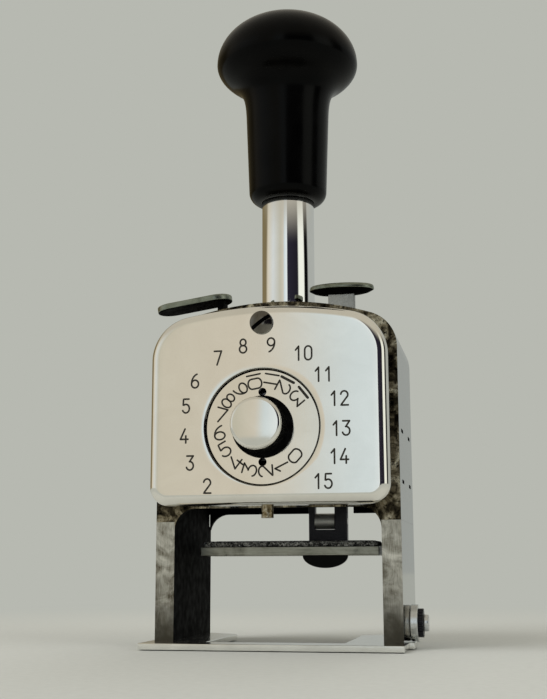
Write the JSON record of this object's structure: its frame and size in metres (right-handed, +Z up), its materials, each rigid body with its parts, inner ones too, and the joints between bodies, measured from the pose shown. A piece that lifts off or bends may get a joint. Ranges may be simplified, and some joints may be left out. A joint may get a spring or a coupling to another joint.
{
  "type": "numbering machine",
  "caption": "Desk numbering stamp on a U-shaped foot: plunger with number wheels and a mushroom handle, swing-away ink pad, setting dial, thumb lever and push button.",
  "frame": {"origin": "the point on the paper where the number wheels print: on the floor plane, under the axis of the stem", "axes": "+Z up along the stem, -Y towards the front cover and its dial, +X to the right as seen from the front"},
  "size_m": [0.0653, 0.0543, 0.1627],
  "materials": {
    "base_steel": "plain bright steel sheet",
    "leg_steel": "ground steel, slightly tarnished",
    "dark_screw": "blackened steel",
    "bright_screw": "polished steel",
    "case_metal": "cast case with a tarnished brass tint",
    "back_chrome": "bright plate",
    "cover_chrome": "satin to bright chrome",
    "stem_chrome": "mirror chrome",
    "brass": "dull brass",
    "handle_black": "polished black moulding",
    "disc_chrome": "satin chrome with black filled figures",
    "knob_chrome": "bright chrome",
    "lever_chrome": "bright chrome",
    "spring_steel": "spring steel",
    "head_steel": "machined steel",
    "wheel_steel": "hardened steel, ink-stained",
    "tray_steel": "steel sheet",
    "felt": "ink-soaked felt",
    "tab_black": "black tab",
    "strap_dark": "blackened steel",
    "washer_steel": "steel",
    "nut_black": "blackened steel"
  },
  "bodies": {
    "frame": {"base_plate": "base_steel", "base_screws": "dark_screw", "left_leg": "leg_steel", "right_leg": "leg_steel", "leg_screws": "dark_screw", "case_body": "case_metal", "back_plate": "back_chrome", "back_screws": "bright_screw", "stem_bush": "brass", "front_cover": "cover_chrome", "cover_screw": "bright_screw", "lower_cover_screw": "brass", "dial_bush": "brass", "dial_click_spring": "spring_steel", "spring_pins": "dark_screw", "pad_pivot_rod": "bright_screw", "lever_pin": "bright_screw", "button_guide": "head_steel", "clamp_washer": "washer_steel", "clamp_disc": "washer_steel", "return_spring_left": "spring_steel", "return_spring_right": "spring_steel", "button_spring": "spring_steel"},
    "plunger": {"handle_grip": "handle_black", "stem_tube": "stem_chrome", "crosshead": "head_steel", "head_cheek_left": "head_steel", "head_cheek_right": "head_steel", "wheel_axle": "bright_screw", "detent_comb": "spring_steel", "detent_bar": "bright_screw", "pawl_rod": "bright_screw"},
    "pawl": {"advance_pawl": "spring_steel"},
    "wheel_1": {"number_wheel_1": "wheel_steel"},
    "wheel_2": {"number_wheel_2": "wheel_steel"},
    "wheel_3": {"number_wheel_3": "wheel_steel"},
    "wheel_4": {"number_wheel_4": "wheel_steel"},
    "wheel_5": {"number_wheel_5": "wheel_steel"},
    "wheel_6": {"number_wheel_6": "wheel_steel"},
    "pad": {"pad_tray": "tray_steel", "felt_pad": "felt", "pad_strap": "strap_dark", "pad_spacer": "bright_screw", "finger_tab": "tab_black"},
    "dial": {"setting_disc": "disc_chrome", "setting_knob": "knob_chrome", "dial_shaft": "bright_screw", "dial_ratchet": "head_steel"},
    "lever": {"thumb_lever": "lever_chrome"},
    "button": {"button_cap": "lever_chrome", "button_post": "bright_screw"},
    "clamp": {"clamp_nut": "nut_black", "clamp_screw": "bright_screw"}
  },
  "joints": [
    {"name": "plunger_stroke", "type": "slide", "parent": "frame", "child": "plunger", "axis": [0, 0, -1], "range_m": [0, 0.033], "stiffness_N_per_m": 300, "springref_m": -0.02, "deforming": ["return_spring_left", "return_spring_right"]},
    {"name": "pad_swing", "type": "hinge", "parent": "frame", "child": "pad", "pos_m": [0, 0.013, 0.037], "axis": [1, 0, 0], "range_deg": [0, 75]},
    {"name": "pawl_rock", "type": "hinge", "parent": "plunger", "child": "pawl", "pos_m": [0, 0.0069, 0.0526], "axis": [-1, 0, 0], "range_deg": [0, 9]},
    {"name": "wheel_1_spin", "type": "hinge", "parent": "plunger", "child": "wheel_1", "pos_m": [-0.0105, 0, 0.0428], "axis": [1, 0, 0], "continuous": true},
    {"name": "wheel_2_spin", "type": "hinge", "parent": "plunger", "child": "wheel_2", "pos_m": [-0.0063, 0, 0.0428], "axis": [1, 0, 0], "continuous": true},
    {"name": "wheel_3_spin", "type": "hinge", "parent": "plunger", "child": "wheel_3", "pos_m": [-0.0021, 0, 0.0428], "axis": [1, 0, 0], "continuous": true},
    {"name": "wheel_4_spin", "type": "hinge", "parent": "plunger", "child": "wheel_4", "pos_m": [0.0021, 0, 0.0428], "axis": [1, 0, 0], "continuous": true},
    {"name": "wheel_5_spin", "type": "hinge", "parent": "plunger", "child": "wheel_5", "pos_m": [0.0063, 0, 0.0428], "axis": [1, 0, 0], "continuous": true},
    {"name": "wheel_6_spin", "type": "hinge", "parent": "plunger", "child": "wheel_6", "pos_m": [0.0105, 0, 0.0428], "axis": [1, 0, 0], "continuous": true},
    {"name": "dial_turn", "type": "hinge", "parent": "frame", "child": "dial", "pos_m": [-0.001, -0.02, 0.0495], "axis": [0, -1, 0], "continuous": true},
    {"name": "lever_rock", "type": "hinge", "parent": "frame", "child": "lever", "pos_m": [-0.0144, -0.0118, 0.073], "axis": [0, -1, 0], "range_deg": [0, 8], "stiffness_Nm_per_rad": 0.05, "springref_deg": -11.46},
    {"name": "button_press", "type": "slide", "parent": "frame", "child": "button", "axis": [0, 0, -1], "range_m": [0, 0.0022], "stiffness_N_per_m": 300, "springref_m": -0.0025, "deforming": ["button_spring"]},
    {"name": "clamp_turn", "type": "hinge", "parent": "frame", "child": "clamp", "pos_m": [0.03, -0.012, 0.0056], "axis": [1, 0, 0], "continuous": true}
  ],
  "couplings": [
    {"joint": "pad_swing", "follows": "plunger_stroke", "rad_per_m": 39.6},
    {"joint": "pawl_rock", "follows": "plunger_stroke", "rad_per_m": 4.7}
  ]
}
